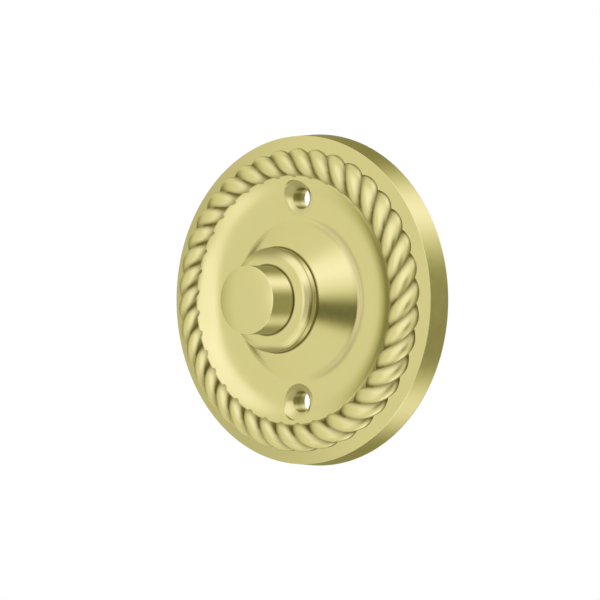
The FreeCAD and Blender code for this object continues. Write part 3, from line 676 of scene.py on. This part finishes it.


# Painted shade: how dark each shaded place is painted, 0 to 1, and the values between which that comes on.
# Most values are millimetres: heights, or distances from the axis or from an edge. Those of
# foot_right, rim_left and shoulder_right are cosines of the turn, and valley's is a strand's swell.
PAINTED_SHADES = {
    "hole_depth": (0.45, 0.30, -1.20),
    "hole_top": (0.50, -0.60, 2.40),
    "foot_inside": (0.40, 13.4, 14.3),
    "foot_outside": (1.0, 15.3, 14.3),
    "foot_right": (1.0, 0.05, 0.60),
    "boss_land": (1.0, 0.12, 0.02),
    "rim_left": (0.30, -0.40, 0.70),
    "cove_lip": (0.80, -0.12, 0.04),
    "valley": (0.72, 0.90, 0.0),
    "rope_outside": (0.70, 1.10, 0.10),
    "rope_inside": (0.50, 3.35, 2.50),
    "flange_groove": (1.0, 0.12, 0.02),
    "bore_mouth": (1.0, 0.32, 0.10),
    "shoulder_seam": (0.60, 0.20, 0.08),
    "shoulder_top": (0.65, 6.60, 9.00),
    "shoulder_bottom": (0.65, 7.90, 9.00),
    "shoulder_right": (0.57, 0.885, 0.999),
    "shoulder_foot": (1.0, 8.10, 8.50),
    "button_mouth": (1.0, 0.30, 0.06),
}
# Least painted shade in a screw hole, and where the painted shade on the rim and on the shoulder is darkest,
# in degrees.
HOLE_SHADE = 0.06
RIM_DARKEST = 195
SHOULDER_DARKEST = -3
# Millimetres within which a point counts as on a surface.
NEAR = 0.02


def shade(place, value):
    """How much painted shade a named place takes where its value, such as a height, is this."""
    strength, low, high = PAINTED_SHADES[place]
    return strength * fade(value, low, high)


def turned_place(points, front):
    """Distance from the axis, turn about it and rise above this front, for points in millimetres."""
    radius = np.hypot(points[:, 0], points[:, 2])
    turn = np.arctan2(points[:, 2], points[:, 0])
    return radius, turn, -points[:, 1] - front


def plate_painted_shade(points):
    """How much painted shade a point of the plate takes, on its front.

    That is down a screw hole and most at its top, at the boss's foot on the right, on the boss's
    land under the collar and at the lip under the rope. The flat rim has painted shade on the left.
    """
    plate, rope = sizes()[:2]
    radius, turn, rise = turned_place(points, plate.rim_thickness)
    in_front = -points[:, 1] > plate.back_recess + NEAR / 2
    past = np.abs(points[:, 2]) - plate.hole_offset
    in_hole = (np.hypot(points[:, 0], past) < plate.sink_radius - NEAR) & in_front
    above = np.where(points[:, 2] > 0, past, -past)
    hole = HOLE_SHADE + shade("hole_depth", rise) + shade("hole_top", above)
    foot = shade("foot_inside", radius) * shade("foot_outside", radius)
    foot = foot * shade("foot_right", np.cos(turn))
    on_rim = (radius > rope.ring_radius + 0.5) & (np.abs(rise) < 0.2)
    rim = shade("rim_left", np.cos(turn - math.radians(RIM_DARKEST))) * on_rim
    lip = shade("cove_lip", radius - plate.cove_radius) * (rise > plate.field_rise + 0.05)
    land = shade("boss_land", radius - plate.boss_radius)
    return np.where(in_hole, hole, np.maximum(foot + lip + rim, land) * in_front)


def strand_swell(share):
    """Height of a strand at a share of the way across it: 0 in the valleys, 1 on the crest."""
    return np.clip(1 - (2 * share - 1) ** 2, 0, 1) ** 0.9


def rope_painted_shade(points):
    """Painted shade on the rope: in a valley, or at the foot on either side.

    The place across the strand follows from the turn about the axis and round the section.
    """
    plate, rope = sizes()[:2]
    radius, turn, rise = turned_place(points, plate.rim_thickness)
    section = np.arctan2(rise - rope.rise, radius - rope.ring_radius)
    turn = turn + math.radians(rope.twist) * (section - math.pi / 2)
    share = ((turn - math.radians(rope.phase)) * rope.strands / (2 * math.pi)) % 1.0
    outer_foot = shade("rope_outside", rise) * (radius > rope.ring_radius)
    inner_foot = shade("rope_inside", rise) * (radius < rope.ring_radius)
    return shade("valley", strand_swell(share)) + outer_foot + inner_foot


def collar_painted_shade(points):
    """Painted shade on the collar: under its flange, at its seam and in its bore's mouth.

    The shoulder also has painted shade at its top, bottom and right.
    """
    turned = sizes()[2]
    radius, turn, rise = turned_place(points, BOSS_FRONT)
    outside = radius > turned.guide_radius + 1
    under = shade("flange_groove", rise - turned.groove) * outside
    mouth = shade("bore_mouth", radius - turned.guide_radius)
    to_edge = np.hypot(radius - COLLAR_RADIUS, rise - turned.collar_side)
    height = points[:, 2]
    ends = np.maximum(shade("shoulder_top", height), shade("shoulder_bottom", -height))
    right = shade("shoulder_right", np.cos(turn - math.radians(SHOULDER_DARKEST)))
    right = right * shade("shoulder_foot", radius)
    on_shoulder = rise > turned.collar_side + 0.05
    seam = shade("shoulder_seam", to_edge) + (ends + right) * on_shoulder
    return np.maximum(np.maximum(under, mouth), seam)


def button_painted_shade(points):
    """Painted shade on the button: its side is darker where it enters the collar."""
    face = BOSS_FRONT + sizes()[2].face_rise
    return shade("button_mouth", turned_place(points, face)[2])


def rope_grid():
    """The rope ring: a closed tube about a circle whose section swells over each strand.

    Columns run round the plate, crowded into the valleys, and rows round the section. A column
    turns about the plate's axis as it goes round the section, which lays the strands aslant; it
    turns no further below the plate's surface, between the two ends of the slant.
    """
    plate, rope = sizes()[:2]
    across, around = 16, 72
    crowding = 0.07
    slant_ends = -0.7, 3.1
    even = np.arange(rope.strands * across + 1) / across
    share = even % 1.0
    crowded = np.floor(even) + share - crowding * np.sin(4 * math.pi * share)
    radius = rope.valley + (rope.crest - rope.valley) * strand_swell(crowded % 1.0)
    section = np.linspace(0, 2 * math.pi, around + 1)[:, None]
    slant = np.clip(np.where(section > 1.5 * math.pi, section - 2 * math.pi, section), *slant_ends)
    turn = np.radians(rope.phase + 360 / rope.strands * crowded[None, :])
    turn = turn - math.radians(rope.twist) * (slant - math.pi / 2)
    reach = rope.ring_radius + radius * np.cos(section)
    front = plate.rim_thickness + rope.rise + radius * np.sin(section)
    return np.stack([reach * np.cos(turn), -front, reach * np.sin(turn)], axis=-1)


def collar_grids():
    """The collar: its turned outline, with the barrel's thread cut as a helix.

    The thread is a triangle wave of the place along the barrel minus the turn, which runs out at
    both ends of the threaded stretch. A plain stretch is left behind the flange.
    """
    turned = sizes()[2]
    crisp, shoulder_round, lip_round, mouth_round = 0.05, 1.2, 2.0, 0.15
    groove_lip = turned.groove + 0.06
    plain, runout = 4.0, 0.6
    face = BOSS_FRONT + turned.face_rise
    guide_end = face - turned.guide_length
    edge = turned.small_round
    angles = full_turn(240)
    head = rounded([
        (turned.barrel_radius, BOSS_FRONT, 0), (COLLAR_RADIUS - turned.groove, BOSS_FRONT, 0),
        (COLLAR_RADIUS - turned.groove, BOSS_FRONT + turned.groove, crisp),
        (COLLAR_RADIUS, BOSS_FRONT + groove_lip, crisp),
        (COLLAR_RADIUS, BOSS_FRONT + turned.collar_side, crisp),
        (turned.shoulder_radius, BOSS_FRONT + turned.shoulder_rise, shoulder_round),
        (turned.lip_radius, face - turned.lip_drop, lip_round), (turned.guide_radius, face, mouth_round),
        (turned.guide_radius, guide_end, edge), (turned.barrel_bore, guide_end, edge),
        (turned.barrel_bore, BARREL_END, edge), (turned.barrel_radius, BARREL_END, 0),
    ])
    along = np.linspace(BARREL_END, BOSS_FRONT, 180)
    phase = (along[:, None] / turned.thread_pitch - angles[None, :] / (2 * math.pi)) % 1.0
    from_end = np.minimum(along - BARREL_END, BOSS_FRONT - plain - along)
    strength = np.clip(from_end / runout, 0, 1)
    depth = turned.thread_depth * np.abs(2 * phase - 1) * strength[:, None]
    radius = turned.barrel_radius - depth
    front = along[:, None] + 0 * angles[None, :]
    barrel = np.stack([radius * np.cos(angles), -front, radius * np.sin(angles)], axis=-1)
    return [swept(divided(head, longest=0.2), angles), barrel]


def button_grid():
    """The button's turned outline: a spherical dome, a side, a flange and the spring's bore.

    The dome stops two rows short of the side, to leave room for the round between them.
    """
    turned = sizes()[2]
    flange_round, cavity_round = 0.1, 0.2
    edge = BUTTON_FRONT - turned.button_dome
    dome_radius = (turned.button_radius ** 2 + turned.button_dome ** 2) / (2 * turned.button_dome)
    lean = np.linspace(0, math.asin(turned.button_radius / dome_radius), 40)[:-2]
    dome = np.stack([dome_radius * np.sin(lean), BUTTON_FRONT - dome_radius * (1 - np.cos(lean))], axis=1)
    flange_front = BUTTON_BACK + turned.button_flange
    cavity_front = BUTTON_FRONT - turned.roof
    side = rounded([
        tuple(dome[-1]) + (0,), (turned.button_radius, edge, turned.small_round),
        (turned.button_radius, flange_front, 0), (BUTTON_FLANGE_RADIUS, flange_front, flange_round),
        (BUTTON_FLANGE_RADIUS, BUTTON_BACK, flange_round),
        (turned.cavity_radius, BUTTON_BACK, flange_round),
        (turned.cavity_radius, cavity_front, cavity_round), (0.0, cavity_front, 0),
    ])
    return swept(np.concatenate([dome[:-1], divided(side, longest=0.2)]), full_turn(240))


def spring_grid():
    """A round-wire coil: a circle carried along a helix whose pitch eases off at both ends.

    The wire comes to a point within a small share of its length, which closes its ends.
    """
    wire = 0.3
    turns = 6.0
    easing = 0.35
    point_share = 0.0025
    middle = SPRING_RADIUS - wire
    share = np.linspace(0, 1, 481)
    angle = 2 * math.pi * turns * share
    eased = share - np.sin(2 * math.pi * share) / (2 * math.pi) * easing
    front = SEAT_FRONT + wire + (SPRING_FRONT - SEAT_FRONT - 2 * wire) * eased
    around = np.linspace(0, 2 * math.pi, 17)[None, :]
    taper = np.sqrt(np.clip(np.minimum(share, 1 - share) / point_share, 0, 1))[:, None] * wire
    radius = middle + taper * np.cos(around)
    front = front[:, None] + taper * np.sin(around)
    return np.stack([radius * np.cos(angle)[:, None], -front, radius * np.sin(angle)[:, None]], axis=-1)


class BELLPUSH_OT_plate(bpy.types.Operator):
    """Make the plate with its cove, boss and two countersunk holes"""

    bl_idname = "bellpush.plate"
    bl_label = "Make the plate"

    def execute(self, context):
        piece = surface_piece("back_plate", plate_grids())
        mark_painted_shade(piece, plate_painted_shade)
        settle(piece, "rope_edge_plate", HOUSING, brass("Cast brass"))
        return {"FINISHED"}


class BELLPUSH_OT_rope(bpy.types.Operator):
    """Make the twisted rope ring of the plate"""

    bl_idname = "bellpush.rope"
    bl_label = "Make the rope ring"

    def execute(self, context):
        piece = surface_piece("rope_ring", [rope_grid()], sharp=80.0)
        mark_painted_shade(piece, rope_painted_shade)
        softer = brass("Rope brass", sizes()[3].rope_softer)
        settle(piece, "rope_edge_plate", HOUSING, softer)
        return {"FINISHED"}


class BELLPUSH_OT_collar(bpy.types.Operator):
    """Make the collar with its threaded barrel"""

    bl_idname = "bellpush.collar"
    bl_label = "Make the collar"

    def execute(self, context):
        piece = surface_piece("collar", collar_grids())
        mark_painted_shade(piece, collar_painted_shade)
        settle(piece, "button_collar", HOUSING, brass("Turned brass", turned=True))
        return {"FINISHED"}


class BELLPUSH_OT_button(bpy.types.Operator):
    """Make the domed button"""

    bl_idname = "bellpush.button"
    bl_label = "Make the button"

    def execute(self, context):
        piece = surface_piece("domed_button", [button_grid()])
        mark_painted_shade(piece, button_painted_shade)
        settle(piece, "push_button", BUTTON, brass("Turned brass", turned=True))
        return {"FINISHED"}


class BELLPUSH_OT_spring(bpy.types.Operator):
    """Make the return spring and give it a mesh of its own"""

    bl_idname = "bellpush.spring"
    bl_label = "Make the spring"

    def execute(self, context):
        piece = surface_piece("return_spring", [spring_grid()], sharp=80.0)
        steel = grained_metal("Spring steel", (0.55, 0.56, 0.58), 0.28)
        settle(piece, "button_return_spring", HOUSING, steel)
        give_way(piece)
        return {"FINISHED"}


class BELLPUSH_OT_hardware(bpy.types.Operator):
    """Make the nut, washers, screws, inserts, contacts and the moulded base

    A row holds a CAD node, its piece's name, its body, slot and material, and the bevel in mm.
    """

    bl_idname = "bellpush.hardware"
    bl_label = "Make the hardware"

    def execute(self, context):
        yellow = grained_metal("Machined brass", (0.72, 0.56, 0.26), 0.3)
        zinc = grained_metal("Zinc plate", (0.60, 0.61, 0.63), 0.34)
        bronze = grained_metal("Phosphor bronze", (0.68, 0.42, 0.26), 0.3)
        silver = grained_metal("Silver", (0.86, 0.85, 0.82), 0.25)
        moulding = plain_stock("Black moulding", (0.022, 0.021, 0.02), 0.42, variation=0.5,
                               spread=0.2, bump=0.15)
        rows = [
            ("switch_base", "base_moulding", HOUSING, "moulding", moulding, 0.15),
            ("spring_seat_disc", "seat_disc", HOUSING, "fibre",
             plain_stock("Red fibre", (0.30, 0.06, 0.04), 0.6), 0.05),
            ("plunger_tip", "nylon_tip", BUTTON, "nylon",
             plain_stock("Nylon", (0.80, 0.78, 0.70), 0.4), 0.05),
            ("plunger_pin", "pin", BUTTON, "screw_brass", yellow, 0.03),
            ("collar_lock_washer", "lock_washer", HOUSING, "steel", zinc, 0.05),
            ("collar_clamp_nut", "clamp_nut", HOUSING, "screw_brass", yellow, 0.08),
            ("moving_contact_leaf", "sprung_leaf", HOUSING, "bronze", bronze, 0.02),
            ("fixed_contact_strip", "contact_strip", HOUSING, "screw_brass", yellow, 0.02),
            ("moving_contact", "moving_silver", HOUSING, "silver", silver, 0.04),
            ("fixed_contact", "fixed_silver", HOUSING, "silver", silver, 0.04),
        ]
        for hand in ("left", "right"):
            for part in ("insert", "washer", "screw"):
                rows.append((f"terminal_{part}_{hand}", f"{part}_{hand}", HOUSING, "screw_brass",
                             yellow, 0.06))
        made = {}
        for node, name, body, slot, material, bevel in rows:
            made[node] = settle(smooth_copy(node, name, bevel), node, body, material)
        give_way(made["moving_contact_leaf"])
        give_way(made["moving_contact"])
        return {"FINISHED"}


# Soft lights and dark cards: direction, inner and outer angle in degrees, added level.
LIGHTS = [
    ((0.66, -0.32, 0.68), 4.0, 40.0, 0.35),
    ((0.45, -0.85, 0.00), 20.0, 44.0, 0.31),
    ((-0.05, -1.00, 0.08), 2.0, 16.0, 0.12),
    ((0.00, -0.72, 0.70), 10.0, 38.0, 0.30),
    ((0.00, -0.66, -0.75), 5.0, 30.0, 0.24),
    ((0.34, 0.70, 0.62), 0.0, 35.0, 0.88),
    ((0.22, 0.56, -0.80), 6.0, 30.0, 0.74),
    ((0.88, -0.37, -0.28), 4.0, 32.0, -0.74),
]


def soft_zone_group():
    """Shared group: how much a direction lies inside a round soft-edged zone of the studio.

    The level falls as a smooth step of the angle between the direction and the zone's centre.
    """
    name = "Soft zone"
    if name in bpy.data.node_groups:
        return bpy.data.node_groups[name]
    group, given, result = shared_group(name, [
        ("Direction", VECTOR, None), ("Centre", VECTOR, None), ("Inner angle", FLOAT, 0.1),
        ("Outer angle", FLOAT, 0.6), ("Level", FLOAT, 0.5),
    ], [("Level", FLOAT)])
    dot = group.nodes.new("ShaderNodeVectorMath")
    dot.operation = "DOT_PRODUCT"
    group.links.new(given.outputs["Direction"], dot.inputs[0])
    group.links.new(given.outputs["Centre"], dot.inputs[1])
    angle = maths(group, "ARCCOSINE", dot.outputs["Value"])
    share = ramped(group, angle, (given.outputs["Inner angle"], given.outputs["Outer angle"], 1.0, 0.0))
    level = maths(group, "MULTIPLY", share, given.outputs["Level"])
    group.links.new(level, result.inputs["Level"])
    return group


# Levels of the studio as ramps of a direction's X, Y or Z.
BEHIND = (0.54, 0.66, 0.76, 0.18)
FAR_BACK = (0.67, 0.79, 0.0, 0.16)
# The dark band on the left: its depth by Y, how it narrows by Y, its edge by Z and its ends.
LEFT_DEPTH = (-0.58, 0.12, 0.0, 0.52)
LEFT_NARROWER = (0.10, 0.45, 1.0, 2.0)
LEFT_BAND = (0.12, 0.60, 1.0, 0.0)
LEFT_SIDE = (0.0, -0.5, 0.0, 1.0)
LEFT_FRONT = (0.54, 0.66, 1.0, 0.0)
# The studio is nowhere darker than this, and blue is its level times a base plus a slope.
DARKEST = 0.12
BLUE_BASE = 0.42
BLUE_SLOPE = 0.72


def left_shade(tree, split):
    """How much darker the studio is on the left: a level band that deepens towards the back."""
    narrower = ramped(tree, split.outputs["Y"], LEFT_NARROWER)
    height = maths(tree, "MULTIPLY", maths(tree, "ABSOLUTE", split.outputs["Z"]), narrower)
    depth = ramped(tree, split.outputs["Y"], LEFT_DEPTH, smooth=False)
    side = ramped(tree, split.outputs["X"], LEFT_SIDE)
    front = ramped(tree, split.outputs["Y"], LEFT_FRONT)
    return maths(tree, "MULTIPLY", maths(tree, "MULTIPLY", depth, ramped(tree, height, LEFT_BAND)),
                 maths(tree, "MULTIPLY", side, front))


def studio_world():
    """A soft studio all round: an even level, darker behind, with soft lights and dark cards.

    The camera sees plain white. A darker direction is also a little warmer.
    """
    world = bpy.data.worlds.new("Studio")
    bpy.context.scene.world = world
    world.cycles.sampling_method = "NONE"
    world.use_nodes = True
    tree = world.node_tree
    place = tree.nodes.new("ShaderNodeTexCoord")
    split = tree.nodes.new("ShaderNodeSeparateXYZ")
    tree.links.new(place.outputs["Generated"], split.inputs["Vector"])
    behind = ramped(tree, split.outputs["Y"], BEHIND)
    far_back = ramped(tree, split.outputs["Y"], FAR_BACK)
    level = maths(tree, "SUBTRACT", maths(tree, "ADD", behind, far_back), left_shade(tree, split))
    for direction, inner, outer, strength in LIGHTS:
        centre = np.array(direction) / np.linalg.norm(direction)
        zone = place_group(tree, soft_zone_group(), Centre=tuple(centre), Level=strength,
                           Inner_angle=math.radians(inner), Outer_angle=math.radians(outer))
        tree.links.new(place.outputs["Generated"], zone.inputs["Direction"])
        level = maths(tree, "ADD", level, zone.outputs["Level"])
    level = maths(tree, "MAXIMUM", level, DARKEST)
    warm = maths(tree, "ADD", maths(tree, "MULTIPLY", level, BLUE_SLOPE), BLUE_BASE)
    blue = maths(tree, "MULTIPLY", level, warm)
    studio = tree.nodes["Background"]
    tree.links.new(joined_colour(tree, level, level, blue), studio.inputs["Color"])
    white = tree.nodes.new("ShaderNodeBackground")
    white.inputs["Color"].default_value = (1.0, 1.0, 1.0, 1.0)
    path = tree.nodes.new("ShaderNodeLightPath")
    mix = tree.nodes.new("ShaderNodeMixShader")
    tree.links.new(path.outputs["Is Camera Ray"], mix.inputs["Fac"])
    tree.links.new(studio.outputs["Background"], mix.inputs[1])
    tree.links.new(white.outputs["Background"], mix.inputs[2])
    tree.links.new(mix.outputs["Shader"], tree.nodes["World Output"].inputs["Surface"])


def pale_floor():
    """A plain pale floor well below the push, which takes its shadow but isn't mirrored in it."""
    half, below = 400.0, -120.0
    corners = np.array([[[-half, -half, below], [half, -half, below]],
                        [[-half, half, below], [half, half, below]]])
    floor = surface_piece("floor", [corners])
    material, tree, shader = new_material("Pale floor")
    place = tree.nodes.new("ShaderNodeTexCoord").outputs["Object"]
    level = ramped(tree, noise(tree, place, 30.0), (0.0, 1.0, 0.78, 0.82), smooth=False)
    tree.links.new(joined_colour(tree, level, level, level), shader.inputs["Base Color"])
    shader.inputs["Roughness"].default_value = 0.6
    floor.data.materials.append(material)
    floor.visible_glossy = False


def portrait_camera():
    """The camera: level, 39.4 degrees round to the right, with a long lens."""
    plate = sizes()[0]
    azimuth, distance, lens = math.radians(39.43), 721.1 * MM, 240.0
    data = bpy.data.cameras.new("Camera")
    data.lens = lens
    data.sensor_width = 36.0
    data.clip_start = 0.05
    data.clip_end = 20.0
    camera = bpy.data.objects.new("Camera", data)
    bpy.context.scene.collection.objects.link(camera)
    front = plate.rim_thickness * MM
    camera.location = (distance * math.sin(azimuth), -front - distance * math.cos(azimuth), 0.0)
    camera.rotation_euler = (math.pi / 2, 0.0, azimuth)
    bpy.context.scene.camera = camera


class BELLPUSH_OT_stage(bpy.types.Operator):
    """Set the floor, the soft studio light and the camera"""

    bl_idname = "bellpush.stage"
    bl_label = "Set the stage"

    def execute(self, context):
        studio_world()
        pale_floor()
        portrait_camera()
        context.scene.view_settings.view_transform = "Standard"
        return {"FINISHED"}


STEPS = ("plate", "rope", "collar", "button", "spring", "hardware", "stage")


class BELLPUSH_PT_panel(bpy.types.Panel):
    """The steps that make the bell push"""

    bl_idname = "BELLPUSH_PT_panel"
    bl_label = "Bell push"
    bl_space_type = "VIEW_3D"
    bl_region_type = "UI"
    bl_category = "Bell push"

    def draw(self, context):
        for step in STEPS:
            self.layout.operator(f"bellpush.{step}")
        for group in sizes():
            column = self.layout.column()
            for name in group.__annotations__:
                column.prop(group, name)


CLASSES = (
    PlateSizes,
    RopeSizes,
    TurnedSizes,
    BrassFinish,
    BELLPUSH_OT_plate,
    BELLPUSH_OT_rope,
    BELLPUSH_OT_collar,
    BELLPUSH_OT_button,
    BELLPUSH_OT_spring,
    BELLPUSH_OT_hardware,
    BELLPUSH_OT_stage,
    BELLPUSH_PT_panel,
)


def register():
    for item in CLASSES:
        bpy.utils.register_class(item)
    bpy.types.Scene.push_plate = PointerProperty(type=PlateSizes)
    bpy.types.Scene.push_rope = PointerProperty(type=RopeSizes)
    bpy.types.Scene.push_turned = PointerProperty(type=TurnedSizes)
    bpy.types.Scene.push_finish = PointerProperty(type=BrassFinish)


def unregister():
    del bpy.types.Scene.push_finish
    del bpy.types.Scene.push_turned
    del bpy.types.Scene.push_rope
    del bpy.types.Scene.push_plate
    for item in reversed(CLASSES):
        bpy.utils.unregister_class(item)


def main():
    """Make every piece and the stage."""
    register()
    for step in STEPS:
        getattr(bpy.ops.bellpush, step)()


if __name__ == "__main__":
    main()
